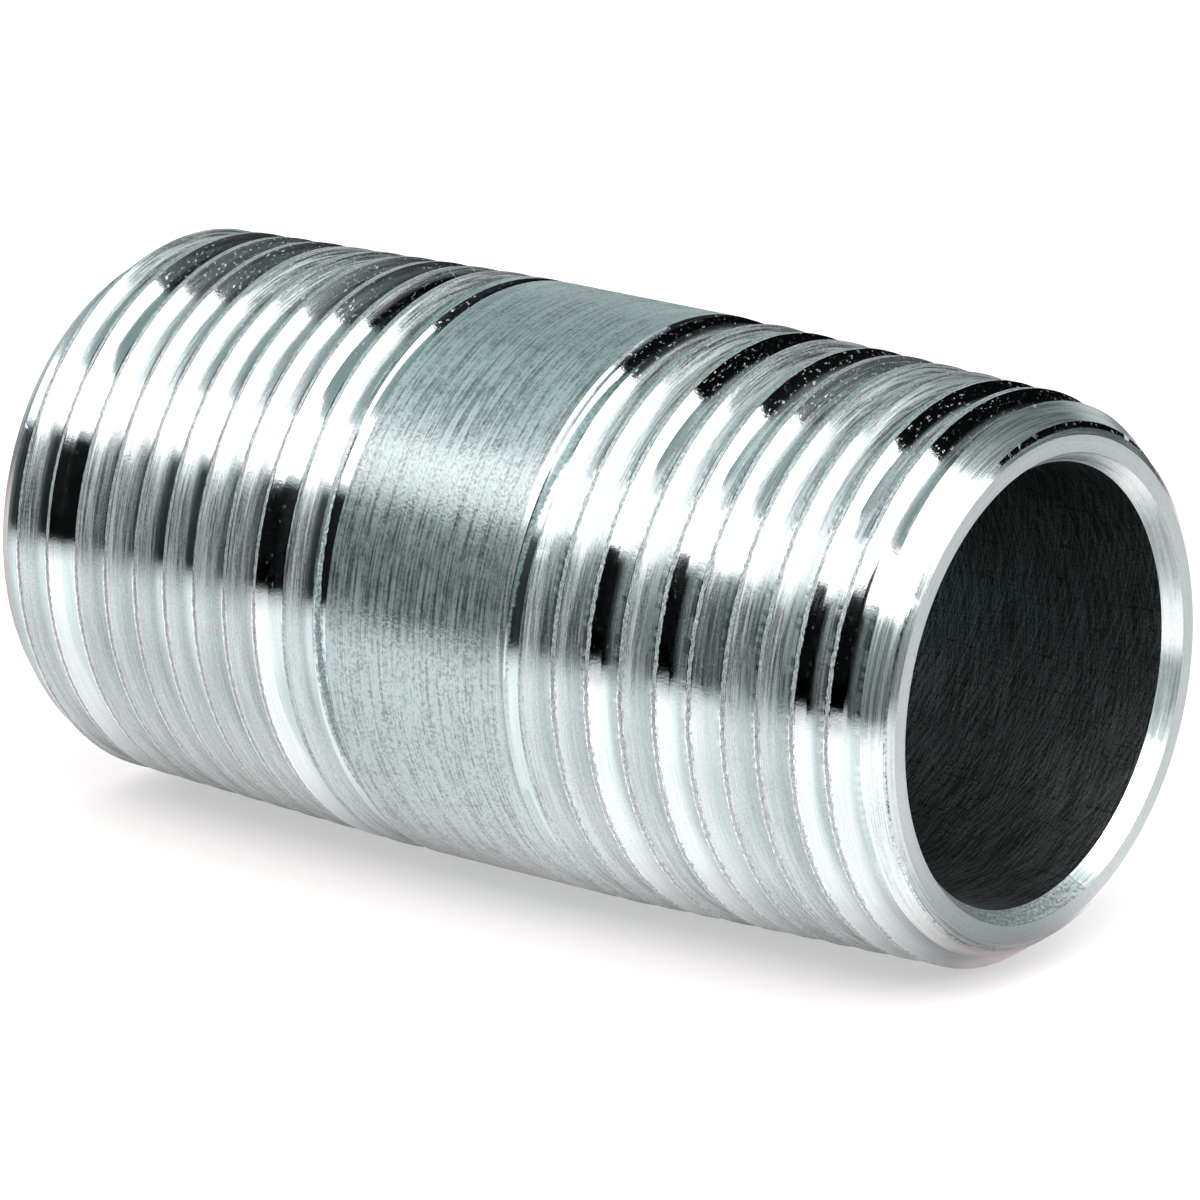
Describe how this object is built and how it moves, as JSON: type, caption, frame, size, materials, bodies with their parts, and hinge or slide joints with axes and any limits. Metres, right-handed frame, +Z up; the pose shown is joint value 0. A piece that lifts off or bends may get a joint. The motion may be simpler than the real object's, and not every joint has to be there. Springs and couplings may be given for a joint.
{
  "type": "threaded pipe nipple",
  "caption": "Short straight pipe nipple: plain barrel between two right-hand taper pipe threads, bevelled ends, through bore.",
  "frame": {"origin": "middle of the bore, halfway between the two end faces", "axes": "+X along the pipe axis towards end A, +Z up"},
  "size_m": [0.0508, 0.0266, 0.0266],
  "materials": {
    "bare_metal": "bare machined stainless steel: satin circumferential brushing on the barrel, bright cut thread flanks, torn crests"
  },
  "bodies": {
    "root": {"pipe_nipple": "bare_metal"}
  },
  "joints": []
}
